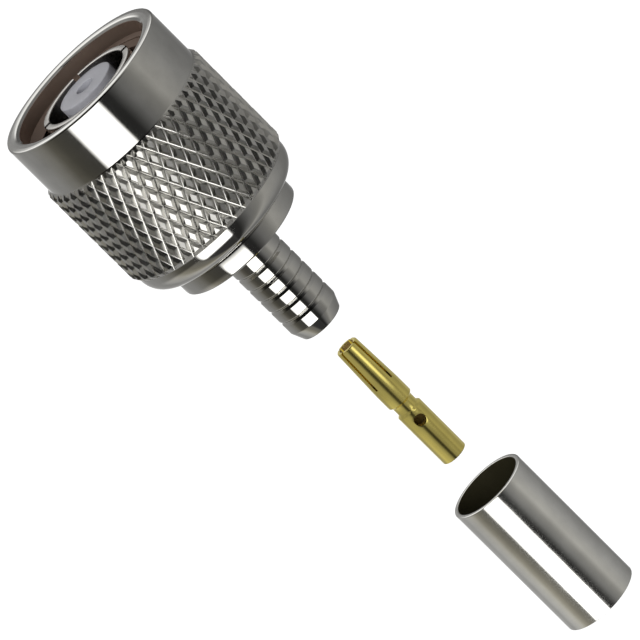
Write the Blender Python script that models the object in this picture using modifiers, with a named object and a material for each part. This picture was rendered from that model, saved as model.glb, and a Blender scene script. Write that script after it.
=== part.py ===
"""Reverse-polarity TNC crimp plug for a 5 mm coaxial cable, drawn apart along its axis.

Eight separate pieces: the diamond-knurled coupling nut, the body with its grooved crimp
stem, the snap ring that holds the nut on the body, the face gasket, the slotted outer
contact, the insulator, the female centre contact and the crimp ferrule.

Units are metres. The origin is the centre of the nut's mouth, +X runs along the axis to
the cable end and +Z is up. Every piece is modelled with the axis as its local Z, and its
stations are counted along that axis from the mouth.
"""

from math import atan2, ceil, cos, hypot, pi, radians, sin

import bmesh
import bpy
from mathutils import Matrix

MM = 0.001

# Interface with the mating connector, whose threaded barrel goes between nut and sleeve
THREAD_MAJOR_DIA = 11.11 * MM
THREAD_PITCH = 0.907 * MM
MATING_WALL = 1.505 * MM
REFERENCE_PLANE = 5.8 * MM

# Clearances between pieces
RUNNING_CLEARANCE = 0.08 * MM
SEAT_CLEARANCE = 0.05 * MM

# Coupling nut, outside
NUT_LENGTH = 15.0 * MM
RIM_WIDTH = 1.1 * MM
RIM_ROUND = 0.3 * MM
COLLAR_LENGTH = 4.2 * MM
TAIL_LENGTH = 1.8 * MM
TAIL_ROUND_LENGTH = 1.5 * MM
TAIL_ROUND_HEIGHT = 1.3 * MM

# Coupling nut, inside
MOUTH_CLEARANCE = 0.295 * MM
MOUTH_DEPTH = 1.25 * MM
MOUTH_CHAMFER = 0.08 * MM
LEAD_IN_LENGTH = 0.5 * MM
RELIEF_UNDERCUT = 0.145 * MM
RELIEF_RAMP = 0.35 * MM
GASKET_RECESS = 1.2 * MM

# Diamond knurl: this many grooves each way round, in a raised band with sloped ends
KNURL_STARTS = 46
DIAMOND_LENGTH = 2.0 * MM
FIRST_DIAMONDS = 0.62 * MM
KNURL_RISE = 0.3 * MM
KNURL_DEPTH = 0.29 * MM
KNURL_FLANK = 0.24 * MM
BAND_SLOPE = 0.42 * MM
BAND_MARGIN = 0.02 * MM

# Body: a neck inside the nut, a flange behind it and the crimp stem
NECK_WALL = 0.65 * MM
NECK_CHAMFER = 0.15 * MM
FLANGE_HEIGHT = 0.5 * MM
FLANGE_LENGTH = 1.5 * MM
FLANGE_ROUND = 0.2 * MM
NUT_FLANGE_GAP = 0.15 * MM
STEM_BORE_DIA = 3.1 * MM
STEM_WALL = 0.59 * MM
STEM_LENGTH = 8.5 * MM
STEM_TIP_WALL = 0.2 * MM
STEM_TIP_LENGTH = 1.0 * MM
STEM_TIP_ROUND = 0.1 * MM
FIRST_GROOVE = 1.98 * MM
GROOVE_PITCH = 1.125 * MM
GROOVE_WIDTH = 0.4 * MM
GROOVE_DEPTH = 0.15 * MM
INSULATOR_FLOOR = 3.25 * MM
BORE_FUNNEL = 0.3 * MM

# Snap ring: a split wire ring half in the neck and half in the nut
RING_WIRE_DIA = 0.8 * MM
RING_FROM_TAIL = 2.55 * MM
RING_SIDE_PLAY = 0.06 * MM
RING_DEPTH_PLAY = 0.2 * MM
RING_SPLIT = radians(40)

# Gasket behind the reference plane
GASKET_THICKNESS = 1.35 * MM
GASKET_CHAMFER = 0.18 * MM

# Outer contact: the slotted sleeve pressed into the body
FINGER_WALL = 0.55 * MM
SLEEVE_TIP = 0.7 * MM
SLEEVE_SEAT = 2.2 * MM
SLEEVE_SHOULDER = 0.15 * MM
SLOT_PAIRS = 2
FINGER_SLOT = 0.45 * MM
FINGER_ROOT = 0.6 * MM
FINGER_BEAD_LENGTH = 0.8 * MM
FINGER_RELIEF = 0.1 * MM

# Insulator
NOSE_DIA = 4.68 * MM
NOSE_TIP = 0.6 * MM
NOSE_CHAMFER = 0.08 * MM
SHOULDER_GAP = 0.25 * MM
PIN_ENTRY_DIA = 1.5 * MM
LIP_LENGTH = 0.42 * MM

# Centre contact, with stations counted from its own front end
CONTACT_LENGTH = 11.5 * MM
CONTACT_DIA = 2.1 * MM
TIP_REDUCTION = 0.15 * MM
TIP_ROUND = 0.12 * MM
SOCKET_DIA = 1.2 * MM
SOCKET_SLOT = 0.19 * MM
SOCKET_SLOT_LENGTH = 3.8 * MM
SOCKET_ROOT = 1.2 * MM
WAIST_START = 5.8 * MM
WAIST_LENGTH = 0.7 * MM
WAIST_DEPTH = 0.19 * MM
WAIST_FLANK = 0.17 * MM
FRONT_LAND = 1.33 * MM
WIRE_BORE_DIA = 1.0 * MM
WIRE_FLOOR_SETBACK = 0.4 * MM
SIGHT_HOLE_DIA = 0.92 * MM
SIGHT_HOLE_OFFSET = 0.6 * MM
CONTACT_EDGE = 0.08 * MM

# Crimp ferrule
FERRULE_LENGTH = 12.2 * MM
BRAID_SPACE = 0.61 * MM
FERRULE_WALL = 0.35 * MM
FERRULE_EDGE = 0.06 * MM

# Where the two loose pieces lie: the gap in front of each
STEM_TO_CONTACT = 2.6 * MM
CONTACT_TO_FERRULE = 3.45 * MM

# The side of the slots and of the sight hole, turned from straight up towards the front
FACING = radians(30)

# Fineness of the round pieces
NUT_SIDES = 2 * KNURL_STARTS
BLANK_SIDES = 64
BLANK_TURN = radians(0.7)
BORE_SIDES = 36
BODY_SIDES = 36
SLEEVE_SIDES = 36
FERRULE_SIDES = 40
INSULATOR_SIDES = 32
GASKET_SIDES = 32
CONTACT_SIDES = 24
HOLE_SIDES = 16
RING_POINTS = 21
TAIL_STEPS = 4
RIM_STEPS = 3
EDGE_STEPS = 2
SHARP_ANGLE = radians(28)
MERGE = 0.001 * MM
CUTTER_OVERRUN = 1.0 * MM

# Diameters and radii that follow
SLEEVE_DIA = THREAD_MAJOR_DIA - 2 * MATING_WALL
SLEEVE_BORE_DIA = SLEEVE_DIA - 2 * FINGER_WALL
INSULATOR_DIA = SLEEVE_BORE_DIA - 2 * (SLEEVE_SHOULDER + SEAT_CLEARANCE)
NECK_DIA = SLEEVE_DIA + 2 * (SEAT_CLEARANCE + NECK_WALL)
FLANGE_DIA = NECK_DIA + 2 * FLANGE_HEIGHT
# Sixty-degree thread: the nut's crests stand 5/8 of the sharp height inside its major diameter
THREAD_MINOR_DIA = THREAD_MAJOR_DIA - 2 * 0.625 * cos(pi / 6) * THREAD_PITCH
RELIEF_DIA = THREAD_MAJOR_DIA + 2 * RELIEF_UNDERCUT
MOUTH_DIA = THREAD_MAJOR_DIA + 2 * MOUTH_CLEARANCE
COLLAR_DIA = MOUTH_DIA + 2 * RIM_WIDTH
KNURL_DIA = COLLAR_DIA + 2 * KNURL_RISE
STEM_DIA = STEM_BORE_DIA + 2 * STEM_WALL
FERRULE_BORE_DIA = STEM_DIA + 2 * BRAID_SPACE
FERRULE_DIA = FERRULE_BORE_DIA + 2 * FERRULE_WALL
KNURL_ROOT_RADIUS = max(KNURL_DIA / 2 - KNURL_DEPTH, COLLAR_DIA / 2 + BAND_MARGIN / 2)
BAND_RADIUS = KNURL_DIA / 2 + BAND_MARGIN
NUT_BORE_RADIUS = NECK_DIA / 2 + RUNNING_CLEARANCE
RING_RADIUS = (NECK_DIA / 2 + NUT_BORE_RADIUS) / 2
RING_INNER_RADIUS = RING_RADIUS - RING_WIRE_DIA / 2 - RING_DEPTH_PLAY
RING_OUTER_RADIUS = RING_RADIUS + RING_WIRE_DIA / 2 + RING_DEPTH_PLAY
SLEEVE_SEAT_RADIUS = SLEEVE_DIA / 2 + SEAT_CLEARANCE
INSULATOR_SEAT_RADIUS = INSULATOR_DIA / 2 + SEAT_CLEARANCE
CONTACT_BORE_RADIUS = CONTACT_DIA / 2 + SEAT_CLEARANCE

# Stations along the axis that follow, counted from the mouth
BAND_END = NUT_LENGTH - TAIL_LENGTH
ROW_HEIGHT = DIAMOND_LENGTH / 2
KNURL_START = COLLAR_LENGTH + FIRST_DIAMONDS - DIAMOND_LENGTH
KNURL_ROWS = ceil((BAND_END - KNURL_START) / ROW_HEIGHT)
KNURL_END = KNURL_START + KNURL_ROWS * ROW_HEIGHT
CHAMBER_DEPTH = REFERENCE_PLANE + GASKET_RECESS
GASKET_BACK = CHAMBER_DEPTH - SEAT_CLEARANCE
GASKET_FRONT = GASKET_BACK - GASKET_THICKNESS
RELIEF_START = GASKET_FRONT - RUNNING_CLEARANCE
THREAD_START = MOUTH_DEPTH + LEAD_IN_LENGTH
THREAD_END = RELIEF_START - RELIEF_RAMP
RING_STATION = NUT_LENGTH - RING_FROM_TAIL
RING_GROOVE_BACK = RING_STATION + RING_WIRE_DIA / 2 + RING_SIDE_PLAY
RING_GROOVE_FRONT = RING_STATION - RING_WIRE_DIA / 2 - RING_SIDE_PLAY
FLANGE_FRONT = NUT_LENGTH + NUT_FLANGE_GAP
FLANGE_BACK = FLANGE_FRONT + FLANGE_LENGTH
STEM_TIP = FLANGE_BACK + STEM_LENGTH
SLEEVE_BACK = REFERENCE_PLANE + SLEEVE_SEAT
INSULATOR_BACK = FLANGE_BACK - INSULATOR_FLOOR
INSULATOR_SHOULDER = REFERENCE_PLANE + SLEEVE_SHOULDER + SHOULDER_GAP
CONTACT_FRONT = STEM_TIP + STEM_TO_CONTACT
FERRULE_FRONT = CONTACT_FRONT + CONTACT_LENGTH + CONTACT_TO_FERRULE
GROOVE_ROOM = STEM_LENGTH - STEM_TIP_LENGTH - FIRST_GROOVE - GROOVE_WIDTH
GROOVE_COUNT = int(GROOVE_ROOM / GROOVE_PITCH) + 1

# Stations inside the centre contact, counted from its front end
WAIST_END = WAIST_START + WAIST_LENGTH
TAPER_LENGTH = WAIST_START - WAIST_FLANK - FRONT_LAND
SOCKET_DEPTH = SOCKET_SLOT_LENGTH + SOCKET_ROOT
WIRE_FLOOR = WAIST_END + WIRE_FLOOR_SETBACK
SIGHT_HOLE_STATION = WIRE_FLOOR + SIGHT_HOLE_OFFSET


def clear_scene():
    for obj in list(bpy.data.objects):
        bpy.data.objects.remove(obj, do_unlink=True)


def collection(name):
    made = bpy.data.collections.new(name)
    bpy.context.scene.collection.children.link(made)
    return made


def material(name, colour, roughness, metallic):
    made = bpy.data.materials.new(name)
    made.use_nodes = True
    shader = made.node_tree.nodes["Principled BSDF"]
    shader.inputs["Base Color"].default_value = (*colour, 1)
    shader.inputs["Roughness"].default_value = roughness
    shader.inputs["Metallic"].default_value = metallic
    return made


def place(name, mesh, home, parent=None, finish=None):
    """Links a mesh as a named object on the connector's axis."""
    obj = bpy.data.objects.new(name, mesh)
    home.objects.link(obj)
    obj.parent = parent
    if finish:
        obj.data.materials.append(finish)
    return obj


def carrier_at(name, station, home, axis):
    """An empty on the axis, from which a loose piece counts its own stations."""
    carrier = bpy.data.objects.new(name, None)
    home.objects.link(carrier)
    carrier.parent = axis
    carrier.location = (0, 0, station)
    return carrier


def arc(centre, radii, start, end, steps):
    """Points of an elliptical arc in the (radius, station) plane."""
    points = []
    for step in range(steps + 1):
        angle = start + (end - start) * step / steps
        points.append((centre[0] + radii[0] * cos(angle), centre[1] + radii[1] * sin(angle)))
    return points


def outline_mesh(name, outline, closed):
    """An outline of (radius, station) points as a chain of edges in the XZ plane."""
    count = len(outline)
    edges = [(i, i + 1) for i in range(count - 1)]
    if closed:
        edges.append((count - 1, 0))
    mesh = bpy.data.meshes.new(name)
    mesh.from_pydata([(radius, 0, station) for radius, station in outline], edges, [])
    return mesh


def turned(name, outline, sides, home, parent, finish=None, closed=True):
    """A turned piece: the outline runs down its outer side and up its inner side."""
    obj = place(name, outline_mesh(name, outline, closed), home, parent, finish)
    turn = obj.modifiers.new("Turn", "SCREW")
    turn.axis = "Z"
    turn.angle = 2 * pi
    turn.steps = sides
    turn.render_steps = sides
    turn.use_merge_vertices = True
    turn.merge_threshold = MERGE
    return obj


def cut(obj, cutter, operation="DIFFERENCE"):
    boolean = obj.modifiers.new("Cut " + cutter.name, "BOOLEAN")
    boolean.operation = operation
    boolean.solver = "EXACT"
    boolean.object = cutter


def cutter_look(obj):
    obj.hide_render = True
    obj.display_type = "WIRE"
    return obj


def slot_cutter(name, width, start, end, span, turn, home, parent):
    """A thin box across the axis, which cuts one slot on each side."""
    bm = bmesh.new()
    bmesh.ops.create_cube(bm, size=1)
    size = Matrix.Diagonal((span, width, end - start, 1))
    middle = Matrix.Translation((0, 0, (start + end) / 2))
    bmesh.ops.transform(bm, matrix=Matrix.Rotation(turn, 4, "Z") @ middle @ size, verts=bm.verts)
    mesh = bpy.data.meshes.new(name)
    bm.to_mesh(mesh)
    bm.free()
    return cutter_look(place(name, mesh, home, parent))


def settle(obj):
    """Applies the modifiers and shades round faces smooth with their corners sharp."""
    bpy.context.view_layer.update()
    evaluated = obj.evaluated_get(bpy.context.evaluated_depsgraph_get())
    mesh = bpy.data.meshes.new_from_object(evaluated)
    mesh.name = obj.name
    obj.modifiers.clear()
    obj.data = mesh
    mesh.shade_smooth()
    mesh.set_sharp_from_angle(angle=SHARP_ANGLE)


def blank_outline():
    """The nut's outside from its tail to its rim, with a plain raised band for the knurl."""
    collar = COLLAR_DIA / 2
    tail = arc(
        (collar - TAIL_ROUND_HEIGHT, NUT_LENGTH - TAIL_ROUND_LENGTH),
        (TAIL_ROUND_HEIGHT, TAIL_ROUND_LENGTH),
        pi / 2,
        0,
        TAIL_STEPS,
    )
    band = [
        (collar, BAND_END),
        (BAND_RADIUS, BAND_END - BAND_SLOPE),
        (BAND_RADIUS, COLLAR_LENGTH + BAND_SLOPE),
        (collar, COLLAR_LENGTH),
    ]
    rim = arc((collar - RIM_ROUND, RIM_ROUND), (RIM_ROUND, RIM_ROUND), 0, -pi / 2, RIM_STEPS)
    return [(0, NUT_LENGTH)] + tail + band + rim + [(0, 0)]


def knurl_outline():
    """The grooves' floor with a point at each row, and a wide plain stretch at each end."""
    wide = BAND_RADIUS + CUTTER_OVERRUN
    outline = [(wide, max(NUT_LENGTH, KNURL_END) + CUTTER_OVERRUN), (wide, KNURL_END)]
    for row in range(KNURL_ROWS, -1, -1):
        outline.append((KNURL_ROOT_RADIUS, KNURL_START + row * ROW_HEIGHT))
    outline += [(wide, KNURL_START), (wide, min(0, KNURL_START) - CUTTER_OVERRUN)]
    return outline


def carve_diamonds(bm):
    """Turns the grid of the grooves' floor into raised diamonds.

    The points where two grooves cross are every second point of the grid, like the black
    squares of a chessboard. Each grid face is split between its two crossings, and the
    points in between are dissolved, which leaves one diamond round each of them.
    """

    def row_of(vert):
        return round((vert.co.z - KNURL_START) / ROW_HEIGHT)

    def is_crossing(vert):
        turn = atan2(vert.co.y, vert.co.x)
        return (round(turn / (2 * pi / NUT_SIDES)) + row_of(vert)) % 2 == 0

    def in_band(face):
        return all(hypot(vert.co.x, vert.co.y) < BAND_RADIUS for vert in face.verts)

    for face in [face for face in bm.faces if in_band(face)]:
        crossings = [vert for vert in face.verts if is_crossing(vert)]
        bmesh.utils.face_split(face, crossings[0], crossings[1])

    centres = []
    half_seams = []
    for vert in {vert for face in bm.faces if in_band(face) for vert in face.verts}:
        if is_crossing(vert):
            continue
        if 0 < row_of(vert) < KNURL_ROWS:
            centres.append(vert)
            continue
        for edge in vert.link_edges:
            if row_of(edge.other_vert(vert)) in (1, KNURL_ROWS - 1):
                half_seams.append(edge)
    bmesh.ops.dissolve_verts(bm, verts=centres)
    bmesh.ops.dissolve_edges(bm, edges=half_seams, use_verts=False)

    whole = []
    halves = []
    for face in filter(in_band, bm.faces):
        rows = {row_of(vert) for vert in face.verts}
        if max(rows) - min(rows) == 2:
            whole.append(face)
        else:
            halves.append(face)
    bmesh.ops.inset_individual(bm, faces=whole, thickness=KNURL_FLANK, depth=KNURL_DEPTH)
    bmesh.ops.inset_individual(bm, faces=halves, thickness=KNURL_FLANK / 2, depth=KNURL_DEPTH / 2)


def make_coupling_nut(parts, cutters, axis, finish):
    """The knurled nut: a turned blank, its diamonds, and a stepped bore cut through it."""
    bm = bmesh.new()
    verts = [bm.verts.new((radius, 0, station)) for radius, station in knurl_outline()]
    chain = [bm.edges.new(pair) for pair in zip(verts, verts[1:])]
    bmesh.ops.spin(
        bm,
        geom=verts + chain,
        cent=(0, 0, 0),
        axis=(0, 0, 1),
        angle=2 * pi,
        steps=NUT_SIDES,
        use_merge=True,
    )
    bmesh.ops.remove_doubles(bm, verts=bm.verts, dist=MERGE)
    rims = [edge for edge in bm.edges if edge.is_boundary]
    bmesh.ops.holes_fill(bm, edges=rims, sides=0)
    bmesh.ops.recalc_face_normals(bm, faces=bm.faces)
    carve_diamonds(bm)
    mesh = bpy.data.meshes.new("coupling_nut")
    bm.to_mesh(mesh)
    bm.free()
    nut = place("coupling_nut", mesh, parts, axis, finish)
    blank = turned("nut_blank", blank_outline(), BLANK_SIDES, cutters, axis, closed=False)
    blank.rotation_euler.z = BLANK_TURN
    cut(nut, cutter_look(blank), "INTERSECT")

    mouth = MOUTH_DIA / 2
    thread = THREAD_MINOR_DIA / 2
    relief = RELIEF_DIA / 2
    over = CUTTER_OVERRUN
    outline = [
        (0, NUT_LENGTH + over),
        (NUT_BORE_RADIUS + MOUTH_CHAMFER + over, NUT_LENGTH + over),
        (NUT_BORE_RADIUS, NUT_LENGTH - MOUTH_CHAMFER),
        (NUT_BORE_RADIUS, RING_GROOVE_BACK),
        (RING_OUTER_RADIUS, RING_GROOVE_BACK),
        (RING_OUTER_RADIUS, RING_GROOVE_FRONT),
        (NUT_BORE_RADIUS, RING_GROOVE_FRONT),
        (NUT_BORE_RADIUS, CHAMBER_DEPTH),
        (relief, CHAMBER_DEPTH),
        (relief, RELIEF_START),
        (thread, THREAD_END),
        (thread, THREAD_START),
        (mouth, MOUTH_DEPTH),
        (mouth, MOUTH_CHAMFER),
        (mouth + MOUTH_CHAMFER + over, -over),
        (0, -over),
    ]
    bore = turned("nut_bore", outline, BORE_SIDES, cutters, axis, closed=False)
    cut(nut, cutter_look(bore))
    settle(nut)


def stem_grooves():
    """Outline points of the grip grooves, from the stem's tip towards the flange."""
    land = STEM_DIA / 2
    floor = land - GROOVE_DEPTH
    points = []
    for number in range(GROOVE_COUNT - 1, -1, -1):
        middle = FLANGE_BACK + FIRST_GROOVE + number * GROOVE_PITCH
        points += [
            (land, middle + GROOVE_WIDTH / 2),
            (floor, middle + GROOVE_WIDTH / 4),
            (floor, middle - GROOVE_WIDTH / 4),
            (land, middle - GROOVE_WIDTH / 2),
        ]
    return points


def make_connector_body(parts, axis, finish):
    """The turned body: crimp stem, flange, neck with its ring groove, stepped bore."""
    stem = STEM_DIA / 2
    neck = NECK_DIA / 2
    bore = STEM_BORE_DIA / 2
    tip_centre = (bore + STEM_TIP_WALL - STEM_TIP_ROUND, STEM_TIP - STEM_TIP_ROUND)
    edge_radius = FLANGE_DIA / 2 - FLANGE_ROUND
    edge = (FLANGE_ROUND, FLANGE_ROUND)
    seat_back = INSULATOR_BACK + SEAT_CLEARANCE
    sleeve_floor = SLEEVE_BACK + SEAT_CLEARANCE
    outline = arc(tip_centre, (STEM_TIP_ROUND, STEM_TIP_ROUND), pi / 2, 0, EDGE_STEPS)
    outline.append((stem, STEM_TIP - STEM_TIP_LENGTH))
    outline += stem_grooves()
    outline.append((stem, FLANGE_BACK))
    outline += arc((edge_radius, FLANGE_BACK - FLANGE_ROUND), edge, pi / 2, 0, EDGE_STEPS)
    outline += arc((edge_radius, FLANGE_FRONT + FLANGE_ROUND), edge, 0, -pi / 2, EDGE_STEPS)
    outline += [
        (neck, FLANGE_FRONT),
        (neck, RING_GROOVE_BACK),
        (RING_INNER_RADIUS, RING_GROOVE_BACK),
        (RING_INNER_RADIUS, RING_GROOVE_FRONT),
        (neck, RING_GROOVE_FRONT),
        (neck, REFERENCE_PLANE + NECK_CHAMFER),
        (neck - NECK_CHAMFER, REFERENCE_PLANE),
        (SLEEVE_SEAT_RADIUS, REFERENCE_PLANE),
        (SLEEVE_SEAT_RADIUS, sleeve_floor),
        (INSULATOR_SEAT_RADIUS, sleeve_floor),
        (INSULATOR_SEAT_RADIUS, seat_back),
        (bore + BORE_FUNNEL, seat_back),
        (bore, seat_back + BORE_FUNNEL),
        (bore, STEM_TIP),
    ]
    settle(turned("connector_body", outline, BODY_SIDES, parts, axis, finish))


def make_snap_ring(parts, axis, finish):
    """A split ring of round wire, its gap turned away from the front."""
    curve = bpy.data.curves.new("snap_ring", "CURVE")
    curve.dimensions = "3D"
    curve.bevel_depth = RING_WIRE_DIA / 2
    curve.bevel_resolution = 2
    curve.use_fill_caps = True
    wire = curve.splines.new("POLY")
    wire.points.add(RING_POINTS - 1)
    start = FACING + pi + RING_SPLIT / 2
    for number, point in enumerate(wire.points):
        angle = start + (2 * pi - RING_SPLIT) * number / (RING_POINTS - 1)
        point.co = (RING_RADIUS * cos(angle), RING_RADIUS * sin(angle), RING_STATION, 1)
    place("snap_ring", curve, parts, axis, finish)


def make_gasket(parts, axis, finish):
    """The flat ring seal that the mating thread's end presses on the nut's shoulder."""
    inner = NECK_DIA / 2 + SEAT_CLEARANCE
    outer = RELIEF_DIA / 2 - RUNNING_CLEARANCE
    bevel = GASKET_CHAMFER
    outline = [
        (inner, GASKET_BACK),
        (outer - bevel, GASKET_BACK),
        (outer, GASKET_BACK - bevel),
        (outer, GASKET_FRONT + bevel),
        (outer - bevel, GASKET_FRONT),
        (inner + bevel, GASKET_FRONT),
        (inner, GASKET_FRONT + bevel),
    ]
    settle(turned("gasket", outline, GASKET_SIDES, parts, axis, finish))


def make_outer_contact(parts, cutters, axis, finish):
    """The sleeve whose slotted front end springs inside the mating connector."""
    outer = SLEEVE_DIA / 2
    inner = SLEEVE_BORE_DIA / 2
    waist = outer - FINGER_RELIEF
    bead = FINGER_BEAD_LENGTH
    outline = [
        (INSULATOR_SEAT_RADIUS, SLEEVE_BACK),
        (outer, SLEEVE_BACK),
        (outer, REFERENCE_PLANE),
        (waist, REFERENCE_PLANE - FINGER_RELIEF),
        (waist, SLEEVE_TIP + bead + FINGER_RELIEF),
        (outer, SLEEVE_TIP + bead),
        (outer, SLEEVE_TIP + FINGER_RELIEF),
        (outer - FINGER_RELIEF, SLEEVE_TIP),
        (inner + FINGER_RELIEF, SLEEVE_TIP),
        (inner, SLEEVE_TIP + FINGER_RELIEF),
        (inner, REFERENCE_PLANE),
        (INSULATOR_SEAT_RADIUS, REFERENCE_PLANE + SLEEVE_SHOULDER),
    ]
    sleeve = turned("outer_contact", outline, SLEEVE_SIDES, parts, axis, finish)
    for number in range(SLOT_PAIRS):
        slot = slot_cutter(
            f"finger_slot_{number + 1}",
            FINGER_SLOT,
            SLEEVE_TIP - FINGER_ROOT,
            REFERENCE_PLANE - FINGER_ROOT,
            2 * SLEEVE_DIA,
            FACING + pi * number / SLOT_PAIRS,
            cutters,
            axis,
        )
        cut(sleeve, slot)
    settle(sleeve)


def make_insulator(parts, axis, finish):
    """The white plastic core: a slim nose in the fingers and a wide seat in the body."""
    nose = NOSE_DIA / 2
    entry = PIN_ENTRY_DIA / 2
    lip = NOSE_TIP + LIP_LENGTH
    outline = [
        (CONTACT_BORE_RADIUS, INSULATOR_BACK),
        (INSULATOR_DIA / 2, INSULATOR_BACK),
        (INSULATOR_DIA / 2, INSULATOR_SHOULDER),
        (nose, INSULATOR_SHOULDER),
        (nose, NOSE_TIP + NOSE_CHAMFER),
        (nose - NOSE_CHAMFER, NOSE_TIP),
        (entry, NOSE_TIP),
        (entry, lip),
        (CONTACT_BORE_RADIUS, lip),
    ]
    settle(turned("insulator", outline, INSULATOR_SIDES, parts, axis, finish))


def make_centre_contact(parts, cutters, axis, finish):
    """The female contact: a slotted tapered socket, a waist, and a barrel for the wire."""
    carrier = carrier_at("contact_place", CONTACT_FRONT, parts, axis)
    barrel = CONTACT_DIA / 2
    waist = barrel - WAIST_DEPTH
    tip = barrel - TIP_REDUCTION
    wire = WIRE_BORE_DIA / 2
    socket = SOCKET_DIA / 2
    outline = [
        (0, WIRE_FLOOR),
        (wire, WIRE_FLOOR),
        (wire, CONTACT_LENGTH),
        (barrel - CONTACT_EDGE, CONTACT_LENGTH),
        (barrel, CONTACT_LENGTH - CONTACT_EDGE),
        (barrel, WAIST_END + WAIST_FLANK),
        (waist, WAIST_END),
        (waist, WAIST_START),
        (barrel, WAIST_START - WAIST_FLANK),
        (barrel, TAPER_LENGTH),
    ]
    outline += arc((tip - TIP_ROUND, TIP_ROUND), (TIP_ROUND, TIP_ROUND), 0, -pi / 2, EDGE_STEPS)
    outline += [
        (socket, 0),
        (socket, SOCKET_DEPTH),
        (0, SOCKET_DEPTH),
    ]
    contact = turned(
        "centre_contact", outline, CONTACT_SIDES, parts, carrier, finish, closed=False
    )
    for number in range(2):
        slot = slot_cutter(
            f"socket_slot_{number + 1}",
            SOCKET_SLOT,
            -SOCKET_SLOT_LENGTH,
            SOCKET_SLOT_LENGTH,
            2 * CONTACT_DIA,
            FACING + pi / 4 + number * pi / 2,
            cutters,
            carrier,
        )
        cut(contact, slot)
    bm = bmesh.new()
    bmesh.ops.create_cone(
        bm,
        cap_ends=True,
        segments=HOLE_SIDES,
        radius1=SIGHT_HOLE_DIA / 2,
        radius2=SIGHT_HOLE_DIA / 2,
        depth=CONTACT_DIA,
    )
    outwards = Matrix.Rotation(FACING, 4, "Z") @ Matrix.Rotation(pi / 2, 4, "Y")
    reach = Matrix.Translation((0, 0, CONTACT_DIA / 2))
    station = Matrix.Translation((0, 0, SIGHT_HOLE_STATION))
    bmesh.ops.transform(bm, matrix=station @ outwards @ reach, verts=bm.verts)
    mesh = bpy.data.meshes.new("sight_hole")
    bm.to_mesh(mesh)
    bm.free()
    cut(contact, cutter_look(place("sight_hole", mesh, cutters, carrier)))
    settle(contact)


def make_crimp_ferrule(parts, axis, finish):
    """The plain sleeve that is crimped over the cable's braid on the stem."""
    carrier = carrier_at("ferrule_place", FERRULE_FRONT, parts, axis)
    outer = FERRULE_DIA / 2
    inner = FERRULE_BORE_DIA / 2
    outline = [
        (inner + FERRULE_EDGE, FERRULE_LENGTH),
        (outer - FERRULE_EDGE, FERRULE_LENGTH),
        (outer, FERRULE_LENGTH - FERRULE_EDGE),
        (outer, FERRULE_EDGE),
        (outer - FERRULE_EDGE, 0),
        (inner + FERRULE_EDGE, 0),
        (inner, FERRULE_EDGE),
        (inner, FERRULE_LENGTH - FERRULE_EDGE),
    ]
    settle(turned("crimp_ferrule", outline, FERRULE_SIDES, parts, carrier, finish))


def main():
    clear_scene()
    parts = collection("tnc_crimp_plug")
    cutters = collection("cutters")
    axis = bpy.data.objects.new("connector_axis", None)
    axis.rotation_euler = (0, -pi / 2, pi)
    parts.objects.link(axis)

    nickel = material("nickel_plate", (0.62, 0.61, 0.58), 0.18, 1)
    dull_nickel = material("dull_nickel", (0.56, 0.55, 0.52), 0.3, 1)
    spring_steel = material("spring_steel", (0.5, 0.5, 0.5), 0.3, 1)
    gold = material("gold_plate", (0.85, 0.68, 0.3), 0.2, 1)
    white_plastic = material("white_plastic", (0.85, 0.85, 0.88), 0.45, 0)
    red_silicone = material("red_silicone", (0.55, 0.09, 0.05), 0.6, 0)

    make_coupling_nut(parts, cutters, axis, nickel)
    make_connector_body(parts, axis, nickel)
    make_snap_ring(parts, axis, spring_steel)
    make_gasket(parts, axis, red_silicone)
    make_outer_contact(parts, cutters, axis, dull_nickel)
    make_insulator(parts, axis, white_plastic)
    make_centre_contact(parts, cutters, axis, gold)
    make_crimp_ferrule(parts, axis, dull_nickel)


main()
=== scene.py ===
"""Dresses the packed coaxial crimp plug: fine knurl, real thread, plating, light and camera.

Sizes are in metres in the packed model's frame. The origin is the centre of the coupling
nut's mouth, +X runs along the axis to the cable end and +Z is up. A round piece is drawn as
an outline of (station, radius) corners and turned about X. Angles about the axis are counted
from straight up, towards -Y.
"""

from math import ceil, cos, pi, radians, sin, tan

import bmesh
import bpy
from mathutils import Matrix, Vector


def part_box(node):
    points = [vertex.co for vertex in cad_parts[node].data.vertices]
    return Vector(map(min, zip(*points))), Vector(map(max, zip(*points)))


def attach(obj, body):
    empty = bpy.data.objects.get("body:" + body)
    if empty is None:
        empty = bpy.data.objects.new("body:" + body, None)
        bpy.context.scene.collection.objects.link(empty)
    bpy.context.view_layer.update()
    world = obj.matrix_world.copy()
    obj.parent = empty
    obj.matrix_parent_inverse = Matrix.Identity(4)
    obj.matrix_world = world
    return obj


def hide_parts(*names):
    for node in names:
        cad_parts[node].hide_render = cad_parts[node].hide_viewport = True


bl_info = {
    "name": "Coaxial crimp plug",
    "version": (1, 0, 0),
    "blender": (4, 5, 0),
    "location": "3D View > Sidebar > Crimp Plug",
    "description": "Dresses a threaded coaxial crimp plug that is drawn apart on its axis",
    "category": "Object",
}

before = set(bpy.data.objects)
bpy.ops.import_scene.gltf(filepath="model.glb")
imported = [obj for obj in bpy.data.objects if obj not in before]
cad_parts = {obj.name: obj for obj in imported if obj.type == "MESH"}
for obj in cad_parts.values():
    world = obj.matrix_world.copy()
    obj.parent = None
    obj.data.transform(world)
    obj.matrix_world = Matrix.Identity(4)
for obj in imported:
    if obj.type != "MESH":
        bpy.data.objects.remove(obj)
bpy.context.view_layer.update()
MM = 0.001
WELD = 0.0005 * MM
SHARP_ANGLE = radians(26)
BLANK_TURN = radians(0.7)
BEVEL_ANGLE = radians(50)
ROUND_STEPS = 3
# The usual rounding of an edge, and the width of a soft change of finish
EDGE = 0.05 * MM
TAIL_STEPS = 10
RING_STEPS = 64
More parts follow.
